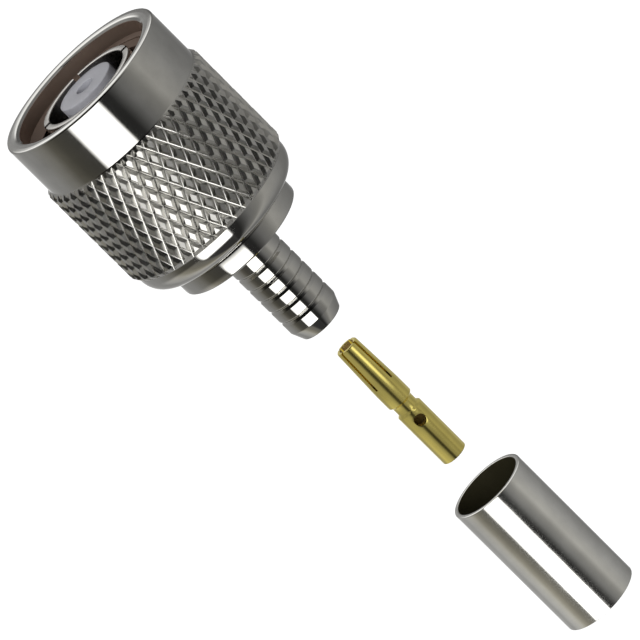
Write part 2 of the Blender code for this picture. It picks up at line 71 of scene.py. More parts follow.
# Height of a knurl groove's edge over its middle, in shares of the floor's half width
GROOVE_SLOPE = 0.38
# The thread's section: its depth, and where its crest and its flank end, in pitches
THREAD_DEPTH = 0.625 * cos(pi / 6)
ROWS_PER_TURN = 16
CREST_HALF = 0.125
ROOT_EDGE = 0.4375
# The plating: its clouds and its lathe marks, and how a bore, painted with shade, and a knurl
# differ
CLOUDING = 0.12
CLOUDS_PER_METRE = 450.0
MARKS_PER_METRE = 6000.0
BORE_ROUGHNESS = 0.25
BORE_METAL = 0.6
KNURL_ROUGHNESS = 0.22
# The floor's own light and the lamp, whose angles are counted from the camera's side
FLOOR_GLOW = 0.86
LAMP_DISTANCE = 0.4
LAMP_LENGTH = 0.9
LAMP_AHEAD = 0.2
LAMP_SIDE = radians(25)
LAMP_HALF_ANGLE = radians(22)
# What the metal mirrors, by degrees round the axis from the camera's side: a tone, and the
# share of blue where it is warm
ROOM_TONES = (
    (0, 0.06), (8, 0.045), (40, 0.05), (53, 0.07, 0.9), (72, 0.09, 0.8), (84, 0.14, 0.8),
    (96, 0.25, 0.9), (120, 0.34), (138, 0.36), (158, 0.42), (173, 0.95), (180, 0.85),
    (187, 0.5), (195, 0.3), (204, 0.23), (216, 0.21), (240, 0.26), (264, 0.34),
    (298, 0.46, 0.95), (312, 0.29, 0.95), (330, 0.20), (342, 0.08), (348, 0.03),
    (356, 0.03),
)
# The same for the card that the gold contact alone mirrors, on top of the others
GOLD_TONES = (
    (0, 0.2), (6, 0.05), (10, 0.0), (22, 0.0), (30, 0.16), (38, 0.34), (72, 0.33),
    (88, 0.22), (104, 0.1), (120, 0.0), (136, 0.06), (180, 0.3), (234, 0.22), (252, 0.06),
    (266, 0.0), (310, 0.0), (320, 0.1), (334, 0.22), (350, 0.28),
)
# Soft edges of the lights and cards: turns are degrees round the axis, and reaches, fronts
# and backs are stations in shares of the distance to the cards. First the long bright strip
STRIP_TURN = ((0.0, 3.5), (46.0, 51.0))
STRIP_REACH = ((0.04, 0.36), (0.55, 0.67))
GLOW_GAP = 0.005
# The small light that the tapered socket of the contact mirrors
GLEAM_TURN = ((318.0, 330.0), (338.0, 350.0))
GLEAM_BACK = (0.32, 0.38)
GLEAM = 1.1
# The light before the mouth, which its rounded rim mirrors on both sides
MOUTH_TURN = ((160.0, 170.0), (190.0, 200.0))
MOUTH_REACH = ((-0.85, -0.7), (-0.39, -0.28))
MOUTH_LIGHT = 0.36
# The pale card under the connector, which grows darker on the mouth's side
UNDER_TURN = ((140.0, 165.0), (195.0, 220.0))
UNDER_FRONT = (-0.1, 0.2)
UNDER_ENDS = 0.62
# The dark card beside the strip, which grows paler on the ferrule's side
BESIDE_TURN = ((44.0, 56.0), (80.0, 130.0))
BESIDE_FRONT = (0.42, 0.5)
BESIDE_GAIN = 1.8
# The dark on the mouth's side, by the cosine of the angle from its middle
AHEAD_MIDDLE = radians(20)
AHEAD_REACH = (0.3, 0.6)
AHEAD_FRONT = (-0.12, 0.12)
AHEAD_SHADE = 0.8


def extent(packed):
    """The stations of a packed piece's two ends, and its outer radius."""
    low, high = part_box(packed)
    return low.x, high.x, high.z


def length(name, description, default):
    """A size in metres."""
    return bpy.props.FloatProperty(
        name=name, description=description, default=default, precision=5, unit="LENGTH"
    )


def mm(name, description, default):
    """A size given in millimetres."""
    return length(name, description, default * MM)


def angle(name, description, degrees):
    """An angle, given in degrees and kept in radians."""
    return bpy.props.FloatProperty(
        name=name, description=description, default=radians(degrees), subtype="ANGLE"
    )


def amount(name, description, default):
    """A plain number."""
    return bpy.props.FloatProperty(name=name, description=description, default=default)


def count(name, description, default):
    """A whole number."""
    return bpy.props.IntProperty(name=name, description=description, default=default, min=1)


def colour(name, description, default):
    """A linear colour."""
    return bpy.props.FloatVectorProperty(
        name=name, description=description, default=default,
        size=3, min=0, max=1, subtype="COLOR",
    )


class NutSizes(bpy.types.PropertyGroup):
    """The coupling nut."""

    length: length("Length", "From the rim to the nut's end", extent("coupling_nut")[1])
    collar: mm("Collar", "Radius of the smooth collar", 6.95)
    collar_end: mm("Collar end", "Station where the raised band begins", 4.2)
    rim_round: mm("Rim round", "Rounding of the rim's outer edge", 0.14)
    rim_crown: mm("Rim crown", "Height of the rounded rim face", 0.055)
    tail_length: mm("Tail length", "From the raised band to the nut's end", 1.8)
    tail_round: mm("Tail round", "Length of the tail's rounding", 1.5)
    tail_drop: mm("Tail drop", "Height of the tail's rounding", 1.3)
    slope: mm("Slope", "Length of the band's sloped ends", 0.42)
    margin: mm("Margin", "Height of the band over the diamonds", 0.02)
    starts: count("Starts", "Grooves each way round", 46)
    first_row: mm("First row", "Middle of the first diamonds on the band", 4.82)
    row: mm("Row", "Half the length of a diamond", 1.0)
    rise: mm("Rise", "Height of the diamonds over their grooves", 0.25)
    groove: mm("Groove", "Half the width of a groove's shallow floor", 0.05)
    flank: mm("Flank", "From a groove's middle to a diamond's edge", 0.23)
    crown: mm("Crown", "Width of the break on a diamond's edge", 0.015)
    mouth: mm("Mouth", "Radius of the smooth mouth", 5.85)
    mouth_depth: mm("Mouth depth", "Depth of the smooth mouth", 1.25)
    chamfer: mm("Chamfer", "Chamfer of the bore's two ends", 0.2)
    lead_in: mm("Lead in", "Length of the cone before the thread", 0.5)
    thread: mm("Thread", "Major radius of the inside thread", 5.555)
    pitch: mm("Pitch", "The thread's pitch, a twenty-eighth of an inch", 0.907)
    relief: mm("Relief", "Radius of the gasket's chamber", 5.7)
    relief_start: mm("Relief start", "Station where the chamber begins", 5.52)
    relief_ramp: mm("Relief ramp", "Length of the thread's run-out", 0.35)
    chamber: mm("Chamber", "Station of the shoulder behind the gasket", 7.0)
    bore: mm("Bore", "Radius of the running bore round the neck", 4.83)
    ring_groove: mm("Ring groove", "Radius of the snap ring's groove", 5.39)
    ring_front: mm("Ring front", "Station of that groove's front", 11.99)
    ring_back: mm("Ring back", "Station of that groove's back", 12.91)


class BodySizes(bpy.types.PropertyGroup):
    """The body with its flange and crimp stem."""

    sides: count("Sides", "Facets round the body", 96)
    tip: length("Tip", "Station of the stem's end", extent("connector_body")[1])
    front: length("Front", "Station of the neck's front face", extent("connector_body")[0])
    flange: length("Flange", "Radius of the flange", extent("connector_body")[2])
    flange_front: mm("Flange front", "Station of the flange's front", 15.15)
    flange_back: mm("Flange back", "Station of the flange's back", 16.65)
    edge: mm("Edge", "Rounding of the flange's edges", 0.2)
    stem: mm("Stem", "Radius of the stem's lands", 2.14)
    bore: mm("Bore", "Radius of the bore for the cable's dielectric", 1.55)
    tip_wall: mm("Tip wall", "Wall left at the stem's tip", 0.2)
    tip_length: mm("Tip length", "Length of the tapered tip", 1.0)
    groove_first: mm("Groove first", "From the flange to the first groove", 1.98)
    groove_pitch: mm("Groove pitch", "From groove to groove", 1.125)
    groove_width: mm("Groove width", "Width of a grip groove", 0.4)
    groove_depth: mm("Groove depth", "Depth of a grip groove", 0.15)
    groove_count: count("Groove count", "Number of grip grooves", 5)
    neck: mm("Neck", "Radius of the neck that the nut turns on", 4.75)
    neck_chamfer: mm("Neck chamfer", "Chamfer of the neck's front edge", 0.15)
    ring_floor: mm("Ring floor", "Radius of the snap ring's seat", 4.19)
    sleeve_seat: mm("Sleeve seat", "Radius of the outer contact's seat", 4.1)
    sleeve_floor: mm("Sleeve floor", "Station of that seat's floor", 8.05)
    core_seat: mm("Core seat", "Radius of the insulator's seat", 3.35)
    core_floor: mm("Core floor", "Station of the insulator's seat", 13.45)
    funnel: mm("Funnel", "Chamfer into the stem's bore", 0.3)


class InnerSizes(bpy.types.PropertyGroup):
    """The snap ring, the gasket, the outer contact and the insulator."""

    sides: count("Sides", "Facets round these pieces", 96)
    wire: mm("Wire", "Radius of the snap ring's wire", 0.4)
    ring: mm("Ring", "Radius to the middle of the wire", 4.79)
    ring_gap: angle("Ring gap", "Opening of the split ring", 40)
    gasket_bore: mm("Gasket bore", "Inner radius of the gasket", 4.8)
    gasket_round: mm("Gasket round", "Rounding of the gasket's corners", 0.2)
    sleeve_bore: mm("Sleeve bore", "Inner radius of the fingers", 3.5)
    sleeve_seat: mm("Sleeve seat", "Inner radius of the pressed end", 3.35)
    plane: mm("Plane", "Station where the fingers leave the body", 5.8)
    shoulder: mm("Shoulder", "Length of the step in the sleeve's bore", 0.15)
    bead: mm("Bead", "Length of the fingers' thick end", 0.8)
    relief: mm("Relief", "Step behind the fingers' thick end", 0.1)
    slot: mm("Slot", "Width of a slot between fingers", 0.45)
    slot_root: mm("Slot root", "Metal between slots and body", 0.6)
    slots: count("Slots", "Pairs of opposite slots", 2)
    nose: mm("Nose", "Radius of the insulator's nose", 2.34)
    nose_end: mm("Nose end", "Station of the insulator's shoulder", 6.2)
    entry: mm("Entry", "Radius of the hole in the nose", 0.75)
    lip: mm("Lip", "Thickness of the nose round that hole", 0.42)
    core_bore: mm("Core bore", "Radius of the bore for the contact", 1.1)


class ContactSizes(bpy.types.PropertyGroup):
    """The centre contact, with stations counted from its front."""

    sides: count("Sides", "Facets round the contact", 72)
    taper: mm("Taper", "Radius lost towards the tip", 0.15)
    tip_round: mm("Tip round", "Rounding of the tip", 0.12)
    socket: mm("Socket", "Radius of the socket's bore", 0.6)
    slot: mm("Slot", "Width of the socket's slots", 0.19)
    slot_length: mm("Slot length", "Length of the socket's slots", 3.8)
    socket_depth: mm("Socket depth", "Depth of the socket's bore", 5.0)
    taper_end: mm("Taper end", "Where the taper meets the front land", 4.3)
    waist_start: mm("Waist start", "Front end of the waist", 5.8)
    waist_end: mm("Waist end", "Back end of the waist", 6.5)
    waist_depth: mm("Waist depth", "Depth of the waist", 0.19)
    waist_flank: mm("Waist flank", "Length of the waist's slopes", 0.17)
    wire: mm("Wire", "Radius of the bore for the wire", 0.5)
    wire_floor: mm("Wire floor", "Where the bore for the wire ends", 6.9)
    hole: mm("Hole", "Radius of the sight hole", 0.46)
    hole_at: mm("Hole at", "Middle of the sight hole", 7.5)
    edge: mm("Edge", "Rounding of the barrel's end", 0.08)


class FerruleSizes(bpy.types.PropertyGroup):
    """The crimp ferrule."""

    sides: count("Sides", "Facets round the ferrule", 128)
    wall: mm("Wall", "Thickness of the ferrule's wall", 0.35)
    edge: mm("Edge", "Rounding of its four edges", 0.06)


class Finishes(bpy.types.PropertyGroup):
    """Colours of the plating and of the plastics."""

    nickel: colour("Nickel", "Plating of the nut and body", (0.61, 0.60, 0.565))
    satin: colour("Satin", "Plating of the ferrule", (0.86, 0.85, 0.80))
    dull: colour("Dull", "Plating of the outer contact", (0.52, 0.50, 0.47))
    # Painted shade: a darker, brownish colour for the nut's bore and thread, where shade falls
    nut_bore_painted_shade: colour("Nut bore", "Dull metal inside the nut", (0.34, 0.25, 0.20))
    # Painted shade: a nearly black colour for the ferrule's inside
    ferrule_bore_painted_shade: colour("Ferrule bore", "Dull metal inside the ferrule", (0.10, 0.09, 0.05))
    # Painted shade: a darker gold for the contact's socket and wire bore
    contact_bore: colour("Contact bore", "Metal inside the contact", (0.5, 0.36, 0.12))
    gold: colour("Gold", "Plating of the centre contact", (0.83, 0.70, 0.20))
    steel: colour("Steel", "Bare wire of the snap ring", (0.50, 0.49, 0.48))
    plastic: colour("Plastic", "White plastic of the insulator", (0.74, 0.74, 0.80))
    rubber: colour("Rubber", "Silicone of the gasket", (0.40, 0.06, 0.035))


class StudioSettings(bpy.types.PropertyGroup):
    """The camera, the floor and the light."""

    facing: angle("Facing", "The camera's side, from straight up", 30)
    lean: angle("Lean", "How far the camera stands towards the mouth", 18.2)
    roll: angle("Roll", "Turn of the picture", 44.83)
    distance: length("Distance", "From the camera to its aim", 0.55)
    aim: mm("Aim", "Station that the camera aims at", 25.0)
    lens: amount("Lens", "Focal length in millimetres", 437)
    floor: length("Floor", "How far the floor lies under the axis", 0.4)
    cards: length("Cards", "From the axis to the cards round it", 0.3)
    strip: amount("Strip", "Brightness of the long soft light", 3.2)
    lamp: amount("Lamp", "Brightness of the lamp for plastics", 2.2)
    fill: amount("Fill", "Brightness of the room", 0.14)


def rounded(*corners):
    """Outline points from (station, radius, rounding) corners, the roundings as arcs."""
    points = []
    for number, corner in enumerate(corners):
        place = Vector(corner[:2])
        if len(corner) < 3:
            points.append(place)
            continue
        before = Vector(corners[number - 1][:2]) - place
        after = Vector(corners[(number + 1) % len(corners)][:2]) - place
        half = before.angle(after) / 2
        before.normalize()
        after.normalize()
        reach = corner[2] / tan(half)
        middle = place + (before + after).normalized() * (corner[2] / sin(half))
        start = place + before * reach - middle
        end = place + after * reach - middle
        sweep = start.angle(end)
        for step in range(ROUND_STEPS + 1):
            share = step / ROUND_STEPS
            blend = sin((1 - share) * sweep) * start + sin(share * sweep) * end
            points.append(middle + blend / sin(sweep))
    return points


def turned(outlines, sides, closed=True):
    """A mesh turned about X from one outline, or from several that meet other pieces."""
    bm = bmesh.new()
    for outline in outlines:
        verts = [bm.verts.new((station, 0, reach)) for station, reach in outline]
        pairs = list(zip(verts, verts[1:]))
        if closed:
            pairs.append((verts[-1], verts[0]))
        geom = verts + [bm.edges.new(pair) for pair in pairs]
        about = {"cent": (0, 0, 0), "axis": (1, 0, 0), "angle": 2 * pi}
        bmesh.ops.spin(bm, geom=geom, steps=sides, use_merge=True, **about)
    bmesh.ops.remove_doubles(bm, verts=bm.verts, dist=WELD)
    return mesh_of(bm, "turned")


def turned_piece(packed, sides, *corners):
    """A closed turned piece that is set in for a packed one, from its outline's corners."""
    return placed("dressed_" + packed, turned([rounded(*corners)], sides))


def tube(packed, bore, edge, sides):
    """A plain tube as long and as wide as a packed piece, with four rounded edges."""
    low, high, outer = extent(packed)
    around = ((low, bore), (low, outer), (high, outer), (high, bore))
    return turned_piece(packed, sides, *((*corner, edge) for corner in around))


def mesh_of(bm, name):
    """A mesh from a bmesh, which is freed."""
    mesh = bpy.data.meshes.new(name)
    bm.to_mesh(mesh)
    bm.free()
    return mesh


def placed(name, data):
    """A new object at the origin."""
    obj = bpy.data.objects.new(name, data)
    bpy.context.scene.collection.objects.link(obj)
    return obj


def evaluated(obj):
    """A plain mesh of an object as its modifiers or its curve make it."""
    bpy.context.view_layer.update()
    depsgraph = bpy.context.evaluated_depsgraph_get()
    return bpy.data.meshes.new_from_object(obj.evaluated_get(depsgraph))


def settle(obj):
    """Applies an object's modifiers to its mesh."""
    mesh = evaluated(obj)
    obj.modifiers.clear()
    obj.data = mesh


def boolean(obj, other, operation):
    """Adds an exact Boolean modifier."""
    modifier = obj.modifiers.new("Boolean", "BOOLEAN")
    modifier.operation = operation
    modifier.solver = "EXACT"
    modifier.object = other


def cut(obj, cutters, edge):
    """Cuts an object with each cutter, and breaks the edges that are left."""
    for cutter in cutters:
        boolean(obj, cutter, "DIFFERENCE")
    bevel = obj.modifiers.new("Edges", "BEVEL")
    bevel.width = edge
    bevel.segments = 2
    bevel.limit_method = "ANGLE"
    bevel.angle_limit = BEVEL_ANGLE
    bevel.harden_normals = False
    settle(obj)
    for cutter in cutters:
        bpy.data.objects.remove(cutter)


def slot_cutters(start, end, width, span, turns):
    """Thin boxes through the axis, each of which cuts a slot on both sides."""
    cutters = []
    for turn in turns:
        bm = bmesh.new()
        bmesh.ops.create_cube(bm, size=1)
        size = Matrix.Diagonal((end - start, width, span, 1))
        middle = Matrix.Translation(((start + end) / 2, 0, 0))
        matrix = Matrix.Rotation(turn, 4, "X") @ middle @ size
        bmesh.ops.transform(bm, matrix=matrix, verts=bm.verts)
        cutters.append(placed("slot_cutter", mesh_of(bm, "slot_cutter")))
    return cutters


def outwards(mesh):
    """Merges a mesh's doubles and turns its faces outwards."""
    bm = bmesh.new()
    bm.from_mesh(mesh)
    bmesh.ops.remove_doubles(bm, verts=bm.verts, dist=WELD)
    bmesh.ops.dissolve_degenerate(bm, edges=bm.edges, dist=WELD)
    bmesh.ops.recalc_face_normals(bm, faces=bm.faces)
    bm.to_mesh(mesh)
    bm.free()


def finish(obj, body, material):
    """Closes and shades a piece, gives it its finish, and sets it in for its packed node."""
    mesh = obj.data
    outwards(mesh)
    mesh.materials.clear()
    mesh.materials.append(material)
    mesh.polygons.foreach_set("material_index", [0] * len(mesh.polygons))
    mesh.shade_smooth()
    mesh.set_sharp_from_angle(angle=SHARP_ANGLE)
    weigh = obj.modifiers.new("Flat faces", "WEIGHTED_NORMAL")
    weigh.keep_sharp = True
    settle(obj)
    obj.data.name = obj.name
    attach(obj, body)
    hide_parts(obj.name.removeprefix("dressed_"))


class Output:
    """A node's output. Arithmetic on it adds the nodes that work it out."""

    def __init__(self, tree, socket):
        self.tree = tree
        self.socket = socket

    def __add__(self, other):
        return self.calc("ADD", other)

    def __sub__(self, other):
        return self.calc("SUBTRACT", other)

    def __rsub__(self, other):
        return calc(self.tree, "SUBTRACT", other, self)

    def __mul__(self, other):
        return self.calc("MULTIPLY", other)

    def __truediv__(self, other):
        return self.calc("DIVIDE", other)

    def calc(self, operation, *others):
        """One step of arithmetic with this output as its first number."""
        return calc(self.tree, operation, self, *others)

    def ramp(self, low, high, to_low, to_high):
        """The value taken in a straight line from one range to another, held at its ends."""
        values = (self, low, high, to_low, to_high)
        return node(self.tree, "ShaderNodeMapRange", dict(enumerate(values)), clamp=True)

    def other(self, key):
        """Another output of the same node."""
        return Output(self.tree, self.socket.node.outputs[key])


def feed(tree, sockets, sources):
    """Links sockets to outputs, or sets their values."""
    for key, source in sources.items():
        if isinstance(source, Output):
            tree.links.new(source.socket, sockets[key])
        else:
            sockets[key].default_value = source


def node(tree, kind, inputs=None, **settings):
    """The first output of a new node with its settings, and its inputs linked or set."""
    made = tree.nodes.new(kind)
    for key, value in settings.items():
        setattr(made, key, value)
    feed(tree, made.inputs, inputs or {})
    return Output(tree, made.outputs[0])


def geometry(tree, kind, inputs=None, **settings):
    """A node that only a geometry tree has."""
    return node(tree, "GeometryNode" + kind, inputs, **settings)


def calc(tree, operation, *values, clamp=False):
    """One step of arithmetic on outputs or numbers."""
    inputs = dict(enumerate(values))
    return node(tree, "ShaderNodeMath", inputs, operation=operation, use_clamp=clamp)


def vector(tree, x=0.0, y=0.0, z=0.0):
    """A vector from three outputs or numbers."""
    return node(tree, "ShaderNodeCombineXYZ", {"X": x, "Y": y, "Z": z})


def parts(place):
    """The X, the Y and the Z of a place."""
    split = node(place.tree, "ShaderNodeSeparateXYZ", {0: place})
    return [split.other(axis) for axis in "XYZ"]


def geometry_tree(name, counts, sizes):
    """A Geometry Nodes tree with named inputs, and what they give by name."""
    tree = bpy.data.node_groups.new(name, "GeometryNodeTree")
    kinds = {"Geometry": "Geometry", "Finish": "Material"}
    kinds.update(dict.fromkeys(counts, "Int"))
    kinds.update(dict.fromkeys(sizes, "Float"))
    for label, kind in kinds.items():
        tree.interface.new_socket(label, in_out="INPUT", socket_type="NodeSocket" + kind)
    tree.interface.new_socket("Geometry", in_out="OUTPUT", socket_type="NodeSocketGeometry")
    given = tree.nodes.new("NodeGroupInput").outputs
    return tree, {label: Output(tree, given[label]) for label in kinds}


def joined(tree, pieces):
    """Pieces joined, with their instances made real."""
    join = tree.nodes.new("GeometryNodeJoinGeometry")
    for piece in pieces:
        tree.links.new(piece.socket, join.inputs[0])
    return geometry(tree, "RealizeInstances", {0: Output(tree, join.outputs[0])})


def close_tree(tree, pieces, material):
    """Ends a tree: its pieces are joined, made real, merged and given their material."""
    inputs = {"Geometry": joined(tree, pieces), "Distance": WELD}
    merged = geometry(tree, "MergeByDistance", inputs)
    inputs = {"Geometry": merged, "Material": material}
    painted = geometry(tree, "SetMaterial", inputs)
    feed(tree, tree.nodes.new("NodeGroupOutput").inputs, {0: painted})
    return tree


def run_tree(obj, tree, group, values):
    """Runs a tree on an object. Its inputs are the given values and sizes of the group."""
    modifier = obj.modifiers.new(tree.name, "NODES")
    modifier.node_group = tree
    sizes = {kind.name: getattr(group, key) for key, kind in group.bl_rna.properties.items()}
    values = {**sizes, **values}
    for item in tree.interface.items_tree:
        if item.in_out == "INPUT" and item.name in values:
            modifier[item.identifier] = values[item.name]
    settle(obj)


def wrapped(tree, mesh, station, reach, turn):
    """A mesh moved to places given by station, distance from the axis and angle about it."""
    place = vector(tree, station, turn.calc("SINE") * reach * -1.0, turn.calc("COSINE") * reach)
    return geometry(tree, "SetPosition", {"Geometry": mesh, "Position": place})


def raised(tree, face, given, centre, shrink):
    """One flat face raised to a diamond with flanks and a rounded, level top.

    The rings of the diamond lie at growing distances from the groove's middle. A ring is the
    face scaled about its centre, and shrink is the share of its size lost for each metre.
    """
    groove, flank, rise, edge = (given[key] for key in ("Groove", "Flank", "Rise", "Crown"))
    rings = [(groove, groove * GROOVE_SLOPE), (flank, rise - edge), (flank + edge, rise)]
    mesh = face
    height = 0.0
    scale = 1.0
    top = True
    for distance, level in rings:
        inputs = {"Mesh": mesh, "Selection": top, "Offset Scale": level - height}
        extruded = geometry(tree, "ExtrudeMesh", inputs, mode="FACES")
        top = extruded.other("Top")
        ring = 1.0 - distance * shrink
        inputs = {
            "Geometry": extruded,
            "Selection": top,
            "Scale": ring / scale,
            "Center": vector(tree, 0.0, centre, level),
        }
        mesh = geometry(tree, "ScaleElements", inputs, domain="FACE")
        height = level
        scale = ring
    return mesh


def knurl_tree():
    """A knurled bar's side: raised diamonds in rows, with half diamonds at both ends."""
    sizes = ["Start", "Row", "Root radius"]
    section = ["Rise", "Groove", "Flank", "Crown"]
    tree, given = geometry_tree("Diamond knurl", ["Starts", "Rows"], sizes + section)
    starts = given["Starts"]
    rows = given["Rows"]
    height = given["Row"]
    root = given["Root radius"]
    half_width = root * pi / starts

    circle = geometry(tree, "MeshCircle", {"Vertices": 4, "Radius": 1.0}, fill_type="NGON")
    inputs = {"Geometry": circle, "Scale": vector(tree, half_width, height, 1.0)}
    diamond = geometry(tree, "Transform", inputs)
    x, y, z = parts(geometry(tree, "InputPosition"))
    inputs = {"Geometry": diamond, "Position": vector(tree, x, y.calc("MAXIMUM", 0.0))}
    half = geometry(tree, "SetPosition", inputs)

    slant = (half_width * half_width + height * height).calc("SQRT") / half_width
    half_shrink = (slant + 1.0) / height
    half_centre = calc(tree, "DIVIDE", 1.0, half_shrink)
    whole_tile = raised(tree, diamond, given, 0.0, slant / height)
    half_tile = raised(tree, half, given, half_centre, half_shrink)

    index = geometry(tree, "InputIndex")
    along = (index / starts).calc("FLOOR")
    around = index.calc("MODULO", starts)

    def row_of_tiles(tile, number, row, turn):
        """Instances of a tile, every second row half a diamond further round."""
        step = around * 2.0 + (1.0 - calc(tree, "MODULO", row, 2.0))
        place = vector(tree, step * half_width, height * row)
        points = geometry(tree, "Points", {"Count": number, "Position": place})
        inputs = {"Points": points, "Instance": tile, "Rotation": (0, 0, turn)}
        return geometry(tree, "InstanceOnPoints", inputs)

    flat = [
        row_of_tiles(whole_tile, starts * (rows - 1.0), along + 1.0, 0.0),
        row_of_tiles(half_tile, starts, 0.0, 0.0),
        row_of_tiles(half_tile, starts, rows, pi),
    ]
    side = wrapped(tree, joined(tree, flat), y + given["Start"], z + root, x / root)
    return close_tree(tree, [given["Geometry"], side], given["Finish"])


def thread_tree():
    """A right-handed inside thread on a grid whose rows follow the helix.

    The grid starts a turn early and is held between two stations, so that both its ends are
    plain rings. A cone at each end cuts the thread's crests away.
    """
    sizes = ["Pitch", "Mouth depth", "Relief start", "Lead in", "Relief ramp"]
    radii = ["Mouth", "Relief", "Crest radius", "Thread"]
    tree, given = geometry_tree("Inside thread", ["Sides", "Turns"], sizes + radii)
    start = given["Mouth depth"]
    end = given["Relief start"]
    crest = given["Crest radius"]
    inputs = {
        "Size X": 1.0,
        "Size Y": 1.0,
        "Vertices X": given["Sides"] + 1.0,
        "Vertices Y": given["Turns"] * ROWS_PER_TURN + 1.0,
    }
    grid = geometry(tree, "MeshGrid", inputs)
    x, y, _ = parts(geometry(tree, "InputPosition"))
    around = x + 0.5
    turns = (y + 0.5) * given["Turns"]
    station = (turns + around - 1.0) * given["Pitch"] + start
    station = station.calc("MAXIMUM", start).calc("MINIMUM", end)
    from_crest = turns.calc("PINGPONG", 0.5)
    thread = from_crest.ramp(CREST_HALF, ROOT_EDGE, crest, given["Thread"])
    lead = station.ramp(start, start + given["Lead in"], given["Mouth"], crest)
    run_out = station.ramp(end - given["Relief ramp"], end, crest, given["Relief"])
    reach = thread.calc("MAXIMUM", lead.calc("MAXIMUM", run_out))
    side = wrapped(tree, grid, station, reach, around * (2 * pi))
    return close_tree(tree, [given["Geometry"], side], given["Finish"])


def repeat_tree():
    """Copies of a piece in a row along the axis."""
    tree, given = geometry_tree("Grip grooves", ["Groove count"], ["Groove pitch"])
    inputs = {"Count": given["Groove count"], "Offset": vector(tree, given["Groove pitch"])}
    line = geometry(tree, "MeshLine", inputs)
    inputs = {"Points": line, "Instance": given["Geometry"]}
    copies = geometry(tree, "InstanceOnPoints", inputs)
    return close_tree(tree, [copies], given["Finish"])


def shader_of(name):
    """A new material, its tree and its shader."""
    material = bpy.data.materials.new(name)
    material.use_nodes = True
    tree = material.node_tree
    return material, tree, tree.nodes["Principled BSDF"]


def object_place(tree):
    """The place on the object."""
    return node(tree, "ShaderNodeTexCoord").other("Object")


def axis_place(tree):
    """The station along the axis and the distance from it."""
    x, y, z = parts(object_place(tree))
    return x, (y * y + z * z).calc("SQRT")


def noise(tree, place, scale, detail, roughness):
    """Cloudy noise between nought and one."""
    inputs = {"Vector": place, "Scale": scale, "Detail": detail, "Roughness": roughness}
    return node(tree, "ShaderNodeTexNoise", inputs)


def turning_marks(tree, fineness):
    """Noise that runs round the axis, like the marks that a lathe leaves."""
    return noise(tree, vector(tree, *axis_place(tree)), fineness, 3.0, 0.6)


def blend(tree, share, low, high):
    """A colour that goes from one to another."""
    inputs = {"Factor": share, 6: low, 7: high}
    return node(tree, "ShaderNodeMix", inputs, data_type="RGBA").other(2)


def paint(tone, share=1.0):
    """A colour with its fourth channel, darkened to a share of its light."""
    return (*(channel * share for channel in tone), 1)


def bump(tree, strength, depth, height, **normal):
    """A normal moved by a height map, from the surface's own or from another one."""
    inputs = {"Strength": strength, "Distance": depth, "Height": height, **normal}
    return node(tree, "ShaderNodeBump", inputs)


def metal(name, tone, roughness, marks_depth, bore=None, rough_from=None):
    """Plated metal: lathe marks, a soft unevenness of the plating and faint clouding.

    A bore is a radius, a station and a colour: nearer the axis and ahead of the station the
    metal takes that colour, a painted shade inside the hollow, and is rougher and less
    metallic. Beyond the radius rough_from the metal is rougher, as pressed knurls are.
    """
    material, tree, shader = shader_of(name)
    along, reach = axis_place(tree)
    clouds = noise(tree, object_place(tree), CLOUDS_PER_METRE, 4.0, 0.55)
    marks = turning_marks(tree, MARKS_PER_METRE)
    shade = clouds.ramp(0.35, 0.65, 0.0, 1.0)
    base = blend(tree, shade, paint(tone, 1 - CLOUDING), paint(tone))
    uneven = clouds * 0.5 + marks * 0.5
    spread = uneven.ramp(0.3, 0.7, roughness * 0.8, roughness * 1.25)
    metallic = 1.0
    if bore:
        # Inside the bore the metal takes the bore's colour, a painted shade for the hollow, and
        # grows rougher and less metallic
        edge, end, dull = bore
        inside = reach.ramp(edge, edge + EDGE, 1.0, 0.0)
        inside = inside * along.ramp(end, end + EDGE, 1.0, 0.0)
        base = blend(tree, inside, base, paint(dull))
        spread = inside * BORE_ROUGHNESS + spread
        metallic = inside.ramp(0.0, 1.0, 1.0, BORE_METAL)
    if rough_from:
        spread = spread + reach.ramp(rough_from, rough_from + EDGE, 0.0, KNURL_ROUGHNESS)
    ripple = bump(tree, 0.5, 0.004 * MM, clouds)
    normal = bump(tree, 0.5, marks_depth, marks, Normal=ripple)
    inputs = {"Base Color": base, "Metallic": metallic, "Roughness": spread, "Normal": normal}
    feed(tree, shader.inputs, inputs)
    return material


def soft_plastic(name, tone, roughness, grain_size, grain_depth, glow=0.0):
    """A plastic or a rubber with a fine grain and a little colour variation."""
    material, tree, shader = shader_of(name)
    grain = noise(tree, object_place(tree), 1 / grain_size, 4.0, 0.6)
    both = grain * 0.5 + turning_marks(tree, 4000.0) * 0.5
    inputs = {
        "Base Color": blend(tree, both.ramp(0.3, 0.7, 0.0, 1.0), paint(tone, 0.9), paint(tone)),
        "Roughness": both.ramp(0.3, 0.7, roughness * 0.85, roughness * 1.15),
        "Normal": bump(tree, 0.4, grain_depth, both),
    }
    if glow:
        inputs["Subsurface Weight"] = glow
        inputs["Subsurface Radius"] = (1.0, 1.0, 1.0)
        inputs["Subsurface Scale"] = 0.3 * MM
    feed(tree, shader.inputs, inputs)
    return material


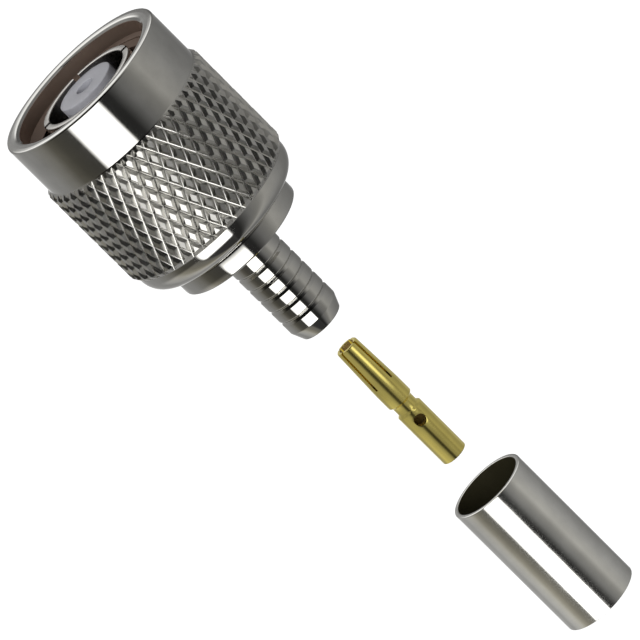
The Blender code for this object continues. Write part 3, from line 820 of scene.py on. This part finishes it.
class PLUG_OT_coupling_nut(bpy.types.Operator):
    """Make the coupling nut, with its diamond knurl and its inside thread"""

    bl_idname = "plug.coupling_nut"
    bl_label = "Coupling Nut"

    def execute(self, context):
        size = context.scene.plug_nut
        tones = context.scene.plug_finishes
        # The nut's bore and thread take a darker brownish colour, painted shade for the hollow
        bore = (size.mouth, size.relief_start, tones.nut_bore_painted_shade)
        rough_from = size.collar + 0.02 * MM
        nickel = metal("nut_nickel", tones.nickel, 0.07, 0.0008 * MM, bore, rough_from)
        _, _, top = extent("coupling_nut")
        root = top - size.rise
        band = top + size.margin
        band_end = size.length - size.tail_length
        tail_start = size.length - size.tail_round
        tail = []
        for step in range(TAIL_STEPS + 1):
            turn = pi / 2 - pi / 2 * step / TAIL_STEPS
            reach = size.collar - size.tail_drop + size.tail_drop * sin(turn)
            tail.append((tail_start + size.tail_round * cos(turn), reach))
        back_part = tail + rounded(
            (size.length, size.bore + size.chamfer),
            (size.length - size.chamfer, size.bore),
            (size.ring_back, size.bore),
            (size.ring_back, size.ring_groove),
            (size.ring_front, size.ring_groove),
            (size.ring_front, size.bore),
            (size.chamber, size.bore, EDGE),
            (size.chamber, size.relief),
            (size.relief_start, size.relief),
        )
        inner = size.mouth + size.chamfer
        middle = (size.collar + inner) / 2
        crown = 0.3 * size.rim_crown
        front_part = rounded(
            (tail_start, size.collar),
            (band_end, size.collar),
            (band_end - size.slope, band, EDGE),
            (size.collar_end + size.slope, band, EDGE),
            (size.collar_end, size.collar),
            (size.rim_crown, size.collar, size.rim_round),
            (crown, 0.7 * size.collar + 0.3 * middle, 0.6 * MM),
            (0, middle, 0.6 * MM),
            (crown, 0.7 * inner + 0.3 * middle, 0.6 * MM),
            (size.rim_crown, inner, 0.03 * MM),
            (size.chamfer, size.mouth, 0.04 * MM),
            (size.mouth_depth, size.mouth),
        )
        blank = turned([back_part, front_part], 2 * size.starts, False)
        nut = placed("dressed_coupling_nut", blank)
        values = {
            "Sides": 2 * size.starts,
            "Turns": int((size.relief_start - size.mouth_depth) / size.pitch) + 2,
            "Crest radius": size.thread - THREAD_DEPTH * size.pitch,
            "Finish": nickel,
        }
        run_tree(nut, thread_tree(), size, values)
        nut.data.transform(Matrix.Rotation(BLANK_TURN, 4, "X"))

        # The knurled bar reaches past both ends of the nut by whole pairs of rows
        pair = 2 * size.row
        start = size.first_row - pair * ceil(size.first_row / pair)
        rows = 2 * ceil((size.length - start) / pair)
        end = start + rows * size.row
        ends = [[(start, 0), (start, root)], [(end, root), (end, 0)]]
        bar = placed("knurled_bar", turned(ends, size.starts, False))
        values = {"Rows": rows, "Start": start, "Root radius": root, "Finish": nickel}
        run_tree(bar, knurl_tree(), size, values)
        outwards(nut.data)
        outwards(bar.data)
        boolean(nut, bar, "INTERSECT")
        settle(nut)
        bpy.data.objects.remove(bar)
        finish(nut, "coupling_nut", nickel)
        return {"FINISHED"}


class PLUG_OT_connector_body(bpy.types.Operator):
    """Make the body, with its neck, flange and grooved crimp stem"""

    bl_idname = "plug.connector_body"
    bl_label = "Connector Body"

    def execute(self, context):
        size = context.scene.plug_body
        nut = context.scene.plug_nut
        nickel = metal("body_nickel", context.scene.plug_finishes.nickel, 0.06, 0.0006 * MM)
        half = size.groove_width / 2
        pitch = size.groove_pitch
        first = size.flange_back + size.groove_first
        tile = rounded(
            (first - pitch / 2, size.stem),
            (first - half, size.stem, EDGE),
            (first, size.stem - size.groove_depth, EDGE),
            (first + half, size.stem, EDGE),
            (first + pitch / 2, size.stem),
        )
        body = placed("dressed_connector_body", turned([tile], size.sides, False))
        run_tree(body, repeat_tree(), size, {"Finish": nickel})
        rest = rounded(
            (first + (size.groove_count - 0.5) * pitch, size.stem),
            (size.tip - size.tip_length, size.stem, 0.3 * MM),
            (size.tip, size.bore + size.tip_wall, 0.1 * MM),
            (size.tip, size.bore, 0.04 * MM),
            (size.core_floor + size.funnel, size.bore, EDGE),
            (size.core_floor, size.bore + size.funnel),
            (size.core_floor, size.core_seat),
            (size.sleeve_floor, size.core_seat),
            (size.sleeve_floor, size.sleeve_seat),
            (size.front, size.sleeve_seat),
            (size.front, size.neck - size.neck_chamfer),
            (size.front + size.neck_chamfer, size.neck),
            (nut.ring_front, size.neck),
            (nut.ring_front, size.ring_floor),
            (nut.ring_back, size.ring_floor),
            (nut.ring_back, size.neck),
            (size.flange_front, size.neck, EDGE),
            (size.flange_front, size.flange, size.edge),
            (size.flange_back, size.flange, size.edge),
            (size.flange_back, size.stem, 0.08 * MM),
            (first - pitch / 2, size.stem),
        )
        bm = bmesh.new()
        bm.from_mesh(body.data)
        bm.from_mesh(turned([rest], size.sides, False))
        body.data = mesh_of(bm, "connector_body")
        finish(body, "body", nickel)
        return {"FINISHED"}


class PLUG_OT_ring_and_gasket(bpy.types.Operator):
    """Make the snap ring and the gasket inside the nut"""

    bl_idname = "plug.ring_and_gasket"
    bl_label = "Snap Ring and Gasket"

    def execute(self, context):
        size = context.scene.plug_inner
        tones = context.scene.plug_finishes
        low, high, _ = extent("snap_ring")
        curve = bpy.data.curves.new("snap_ring", "CURVE")
        curve.dimensions = "3D"
        curve.bevel_depth = size.wire
        curve.bevel_resolution = 4
        curve.use_fill_caps = True
        wire = curve.splines.new("POLY")
        wire.points.add(RING_STEPS)
        begin = context.scene.plug_studio.facing + pi + size.ring_gap / 2
        for number, point in enumerate(wire.points):
            turn = begin + (2 * pi - size.ring_gap) * number / RING_STEPS
            point.co = ((low + high) / 2, -size.ring * sin(turn), size.ring * cos(turn), 1)
        shape = placed("ring_curve", curve)
        ring = placed("dressed_snap_ring", evaluated(shape))
        bpy.data.objects.remove(shape)
        steel = metal("ring_steel", tones.steel, 0.28, 0.001 * MM)
        finish(ring, "body", steel)

        gasket = tube("gasket", size.gasket_bore, size.gasket_round, size.sides)
        rubber = soft_plastic("gasket_silicone", tones.rubber, 0.55, 0.12 * MM, 0.006 * MM)
        finish(gasket, "body", rubber)
        return {"FINISHED"}


class PLUG_OT_outer_contact(bpy.types.Operator):
    """Make the outer contact, with its four spring fingers"""

    bl_idname = "plug.outer_contact"
    bl_label = "Outer Contact"

    def execute(self, context):
        size = context.scene.plug_inner
        tip, end, outer = extent("outer_contact")
        step = size.relief
        waist = outer - step
        sleeve = turned_piece(
            "outer_contact",
            size.sides,
            (end, size.sleeve_seat),
            (end, outer, EDGE),
            (size.plane, outer),
            (size.plane - step, waist),
            (tip + size.bead + step, waist),
            (tip + size.bead, outer, EDGE),
            (tip, outer, step),
            (tip, size.sleeve_bore, step),
            (size.plane, size.sleeve_bore),
            (size.plane + size.shoulder, size.sleeve_seat),
        )
        start = tip - size.slot_root
        stop = size.plane - size.slot_root
        facing = context.scene.plug_studio.facing
        turns = [facing + pi * number / size.slots for number in range(size.slots)]
        cut(sleeve, slot_cutters(start, stop, size.slot, 4 * outer, turns), 0.03 * MM)
        dull = metal("contact_nickel", context.scene.plug_finishes.dull, 0.24, 0.001 * MM)
        finish(sleeve, "body", dull)
        return {"FINISHED"}


class PLUG_OT_insulator(bpy.types.Operator):
    """Make the white insulator"""

    bl_idname = "plug.insulator"
    bl_label = "Insulator"

    def execute(self, context):
        size = context.scene.plug_inner
        tip, end, outer = extent("insulator")
        core = turned_piece(
            "insulator",
            size.sides,
            (end, size.core_bore),
            (end, outer, 0.1 * MM),
            (size.nose_end, outer, 0.1 * MM),
            (size.nose_end, size.nose, EDGE),
            (tip, size.nose, 0.1 * MM),
            (tip, size.entry, 0.04 * MM),
            (tip + size.lip, size.entry),
            (tip + size.lip, size.core_bore),
        )
        tone = context.scene.plug_finishes.plastic
        white = soft_plastic("insulator_plastic", tone, 0.42, 0.25 * MM, 0.002 * MM, 0.25)
        finish(core, "body", white)
        return {"FINISHED"}


class PLUG_OT_centre_contact(bpy.types.Operator):
    """Make the gold centre contact, with its slotted socket and sight hole"""

    bl_idname = "plug.centre_contact"
    bl_label = "Centre Contact"

    def execute(self, context):
        size = context.scene.plug_contact
        tones = context.scene.plug_finishes
        facing = context.scene.plug_studio.facing
        start, end, barrel = extent("centre_contact")
        waist = barrel - size.waist_depth
        shoulder = start + size.waist_end + size.waist_flank
        # Rings of points on both sides of the sight hole keep the barrel round beside it
        clear = size.hole + size.edge
        beside_hole = start + size.hole_at - clear
        outline = rounded(
            (start + size.wire_floor, 0),
            (start + size.wire_floor, size.wire),
            (end, size.wire, size.edge / 2),
            (end, barrel, size.edge),
            (beside_hole + 2 * clear, barrel),
            (beside_hole, barrel),
            (shoulder + size.edge, barrel),
            (shoulder, barrel, EDGE),
            (start + size.waist_end, waist, EDGE),
            (start + size.waist_start, waist, EDGE),
            (start + size.waist_start - size.waist_flank, barrel, EDGE),
            (start + size.taper_end, barrel),
            (start, barrel - size.taper, size.tip_round),
            (start, size.socket, 0.06 * MM),
            (start + size.socket_depth, size.socket),
            (start + size.socket_depth, 0),
        )
        contact = placed("dressed_centre_contact", turned([outline], size.sides, False))
        low = start - size.slot_length
        high = start + size.slot_length
        turns = (facing + pi / 4, facing + pi / 4 + pi / 2)
        cutters = slot_cutters(low, high, size.slot, 6 * barrel, turns)
        bm = bmesh.new()
        round_bar = {"radius1": size.hole, "radius2": size.hole, "depth": 2 * barrel}
        bmesh.ops.create_cone(bm, cap_ends=True, segments=40, **round_bar)
        reach = Matrix.Translation((start + size.hole_at, 0, 0))
        matrix = Matrix.Rotation(facing, 4, "X") @ reach @ Matrix.Translation((0, 0, barrel))
        bmesh.ops.transform(bm, matrix=matrix, verts=bm.verts)
        cutters.append(placed("hole_cutter", mesh_of(bm, "hole_cutter")))
        cut(contact, cutters, 0.02 * MM)
        # The socket and wire bore are painted a darker gold, as shade inside the hollow
        bore = (size.socket, 1, tones.contact_bore)
        gold = metal("contact_gold", tones.gold, 0.17, 0.0012 * MM, bore)
        finish(contact, "centre_contact", gold)
        return {"FINISHED"}


class PLUG_OT_crimp_ferrule(bpy.types.Operator):
    """Make the crimp ferrule"""

    bl_idname = "plug.crimp_ferrule"
    bl_label = "Crimp Ferrule"

    def execute(self, context):
        size = context.scene.plug_ferrule
        tones = context.scene.plug_finishes
        inner = extent("crimp_ferrule")[2] - size.wall
        ferrule = tube("crimp_ferrule", inner, size.edge, size.sides)
        # The ferrule's inside is painted nearly black, as shade inside the tube
        bore = (inner + 0.02 * MM, 1, tones.ferrule_bore_painted_shade)
        satin = metal("ferrule_nickel", tones.satin, 0.13, 0.0006 * MM, bore)
        finish(ferrule, "crimp_ferrule", satin)
        return {"FINISHED"}


def direction(turn):
    """The unit vector across the axis at an angle from straight up towards -Y."""
    return Vector((0, -sin(turn), cos(turn)))


def make_camera(studio):
    """A long lens on the camera's side, leaning to the mouth and rolled."""
    towards = direction(studio.facing) * cos(studio.lean) - Vector((sin(studio.lean), 0, 0))
    axis = Vector((1, 0, 0))
    level = (axis - towards * axis.dot(towards)).normalized()
    above = towards.cross(level)
    right = level * cos(studio.roll) + above * sin(studio.roll)
    up = above * cos(studio.roll) - level * sin(studio.roll)
    turn = Matrix((right, up, towards)).transposed()
    data = bpy.data.cameras.new("camera")
    data.lens = studio.lens
    data.sensor_width = 36
    data.clip_start = 0.01
    data.clip_end = 5
    camera = placed("camera", data)
    place = Vector((studio.aim, 0, 0)) + towards * studio.distance
    camera.matrix_world = Matrix.Translation(place) @ turn.to_4x4()
    bpy.context.scene.camera = camera


def seen(tree):
    """One for what the camera sees straight, mirrored or through something, else nought."""
    path = node(tree, "ShaderNodeLightPath")
    straight = path.other("Is Camera Ray") + path.other("Is Glossy Ray")
    return calc(tree, "ADD", straight, path.other("Is Transmission Ray"), clamp=True)


def show(tree, surface):
    """Makes an output the material's surface."""
    feed(tree, tree.nodes["Material Output"].inputs, {"Surface": surface})


def make_floor(studio):
    """A pale floor that keeps a soft shadow and is clear from below."""
    bm = bmesh.new()
    bmesh.ops.create_grid(bm, x_segments=1, y_segments=1, size=3)
    bmesh.ops.translate(bm, verts=bm.verts, vec=(0, 0, -studio.floor))
    floor = placed("floor", mesh_of(bm, "floor"))
    material, tree, shader = shader_of("floor_white")
    inputs = {
        "Base Color": (0.9, 0.9, 0.9, 1),
        "Roughness": 0.9,
        "Emission Color": (1, 1, 1, 1),
        "Emission Strength": seen(tree) * FLOOR_GLOW,
    }
    feed(tree, shader.inputs, inputs)
    below = node(tree, "ShaderNodeNewGeometry").other("Backfacing")
    clear = node(tree, "ShaderNodeBsdfTransparent")
    inputs = {0: below, 1: Output(tree, shader.outputs[0]), 2: clear}
    show(tree, node(tree, "ShaderNodeMixShader", inputs))
    floor.data.materials.append(material)


def window(value, rise, fall):
    """One between two soft edges and nought outside them."""
    return value.ramp(*rise, 0.0, 1.0) * value.ramp(*fall, 1.0, 0.0)


def tone_ring(share, tones):
    """A colour that changes with the angle round the axis, given as a share of a turn."""
    ring = node(share.tree, "ShaderNodeValToRGB", {"Fac": share})
    stops = ring.socket.node.color_ramp.elements
    while len(stops) < len(tones):
        stops.new(1.0)
    for stop, (degrees, tone, *tint) in zip(stops, tones):
        blue = tint[0] if tint else 1.0
        stop.position = degrees / 360
        stop.color = (tone, tone * (0.75 + 0.25 * blue), tone * blue, 1)
    return ring


def card_ball(name, studio, radius):
    """A ball round the origin that is seen in the metal and nowhere else.

    With it come its tree, the angle about the axis from the camera's side as a share of a
    turn, and the station as a share of the distance to the cards.
    """
    bm = bmesh.new()
    bmesh.ops.create_uvsphere(bm, u_segments=48, v_segments=24, radius=radius)
    card = placed(name, mesh_of(bm, name))
    material, tree, shader = shader_of(name)
    tree.nodes.remove(shader)
    x, y, z = parts(object_place(tree))
    turn = (y * -1.0).calc("ARCTAN2", z)
    share = ((turn - studio.facing) / (2 * pi)).calc("FRACT")
    card.data.materials.append(material)
    for kind in ("camera", "diffuse", "transmission", "volume_scatter", "shadow"):
        setattr(card, "visible_" + kind, False)
    return card, tree, share, x / studio.cards


def make_glow(name, studio, gaps, strength, contact_lit):
    """A glow on a clear ball inside the cards, for the contact alone or for all but it.

    The strength is a function of the share of a turn and the place along the axis.
    """
    card, tree, share, along = card_ball(name, studio, studio.cards - gaps * GLOW_GAP)
    inputs = {"Color": (1, 1, 1, 1), "Strength": strength(share, along)}
    light = node(tree, "ShaderNodeEmission", inputs)
    clear = node(tree, "ShaderNodeBsdfTransparent")
    show(tree, node(tree, "ShaderNodeAddShader", {0: clear, 1: light}))
    lit = bpy.data.collections.new(name + "_on_contact")
    lit.objects.link(bpy.data.objects["dressed_centre_contact"])
    card.light_linking.receiver_collection = lit
    state = "INCLUDE" if contact_lit else "EXCLUDE"
    lit.collection_objects[0].light_linking.link_state = state


def make_glows(studio):
    """The long soft light that the nickel mirrors, and the soft cards round the contact.

    The contact lies too low to mirror the long light, so it has cards of its own.
    """

    def strip(share, along):
        degrees = share * 360.0
        lit = window(degrees, *STRIP_TURN) * window(along, *STRIP_REACH)
        before = window(degrees, *MOUTH_TURN) * window(along, *MOUTH_REACH)
        return (before * MOUTH_LIGHT + lit) * studio.strip

    def soft(share, along):
        tone = node(share.tree, "ShaderNodeRGBToBW", {0: tone_ring(share, GOLD_TONES)})
        gleam = window(share * 360.0, *GLEAM_TURN) * along.ramp(*GLEAM_BACK, GLEAM, 0.0)
        return tone + gleam

    make_glow("strip_glow", studio, 1, strip, False)
    make_glow("contact_glow", studio, 2, soft, True)


def make_room(studio):
    """A ball of pale and dark cards round the axis, which only the metal mirrors.

    Their tones change with the angle round the axis. The card under the connector grows
    darker on the mouth's side, and the one beside it grows lighter towards the ferrule.
    """
    _, tree, share, along = card_ball("studio_cards", studio, studio.cards)
    degrees = share * 360.0
    under = window(degrees, *UNDER_TURN) * along.ramp(*UNDER_FRONT, UNDER_ENDS, 0.0)
    beside = window(degrees, *BESIDE_TURN) * along.ramp(*BESIDE_FRONT, 0.0, BESIDE_GAIN)
    from_middle = share * (2 * pi) - AHEAD_MIDDLE
    ahead = from_middle.calc("COSINE").ramp(*AHEAD_REACH, 0.0, 1.0)
    dark = ahead * along.ramp(*AHEAD_FRONT, AHEAD_SHADE, 0.0)
    strength = (1.0 - under) * (beside + 1.0) * (1.0 - dark)
    inputs = {"Color": tone_ring(share, ROOM_TONES), "Strength": strength}
    show(tree, node(tree, "ShaderNodeEmission", inputs))


def make_strip_light(studio):
    """The long soft light, level with the strip that the metal mirrors."""
    data = bpy.data.lights.new("strip_light", "AREA")
    data.shape = "RECTANGLE"
    data.size = LAMP_LENGTH
    data.size_y = 2 * LAMP_DISTANCE * tan(LAMP_HALF_ANGLE)
    data.energy = studio.lamp * pi * data.size * data.size_y
    light = placed("strip_light", data)
    towards = direction(studio.facing + LAMP_SIDE)
    across = Vector((1, 0, 0))
    turn = Matrix((across, towards.cross(across), towards)).transposed()
    place = Vector((studio.aim - LAMP_AHEAD, 0, 0)) + towards * LAMP_DISTANCE
    light.matrix_world = Matrix.Translation(place) @ turn.to_4x4()
    light.visible_glossy = False
    light.visible_camera = False


def make_world(studio):
    """A white background for what is seen or mirrored, and an even fill otherwise."""
    world = bpy.data.worlds.new("room")
    bpy.context.scene.world = world
    world.use_nodes = True
    tree = world.node_tree
    strength = seen(tree).ramp(0.0, 1.0, studio.fill, 1.0)
    feed(tree, tree.nodes["Background"].inputs, {"Color": (1, 1, 1, 1), "Strength": strength})


class PLUG_OT_studio(bpy.types.Operator):
    """Set up the floor, the light and the camera"""

    bl_idname = "plug.studio"
    bl_label = "Studio"

    def execute(self, context):
        studio = context.scene.plug_studio
        make_camera(studio)
        make_floor(studio)
        make_room(studio)
        make_glows(studio)
        make_strip_light(studio)
        make_world(studio)
        context.scene.view_settings.view_transform = "Standard"
        return {"FINISHED"}


OPERATORS = (
    PLUG_OT_coupling_nut,
    PLUG_OT_connector_body,
    PLUG_OT_ring_and_gasket,
    PLUG_OT_outer_contact,
    PLUG_OT_insulator,
    PLUG_OT_centre_contact,
    PLUG_OT_crimp_ferrule,
    PLUG_OT_studio,
)


class PLUG_PT_panel(bpy.types.Panel):
    """The plug's pieces in the sidebar"""

    bl_idname = "PLUG_PT_panel"
    bl_label = "Crimp Plug"
    bl_space_type = "VIEW_3D"
    bl_region_type = "UI"
    bl_category = "Crimp Plug"

    def draw(self, context):
        for operator in OPERATORS:
            self.layout.operator(operator.bl_idname)
        for name, kind in GROUPS.items():
            box = self.layout.box()
            box.label(text=kind.__doc__)
            for field in kind.__annotations__:
                box.prop(getattr(context.scene, name), field)


GROUPS = {
    "plug_nut": NutSizes,
    "plug_body": BodySizes,
    "plug_inner": InnerSizes,
    "plug_contact": ContactSizes,
    "plug_ferrule": FerruleSizes,
    "plug_finishes": Finishes,
    "plug_studio": StudioSettings,
}


def register():
    for name, kind in GROUPS.items():
        bpy.utils.register_class(kind)
        setattr(bpy.types.Scene, name, bpy.props.PointerProperty(type=kind))
    for kind in OPERATORS + (PLUG_PT_panel,):
        bpy.utils.register_class(kind)


def unregister():
    for kind in OPERATORS + (PLUG_PT_panel,):
        bpy.utils.unregister_class(kind)
    for name, kind in GROUPS.items():
        delattr(bpy.types.Scene, name)
        bpy.utils.unregister_class(kind)


def main():
    register()
    bpy.ops.plug.coupling_nut()
    bpy.ops.plug.connector_body()
    bpy.ops.plug.ring_and_gasket()
    bpy.ops.plug.outer_contact()
    bpy.ops.plug.insulator()
    bpy.ops.plug.centre_contact()
    bpy.ops.plug.crimp_ferrule()
    bpy.ops.plug.studio()


if __name__ == "__main__":
    main()
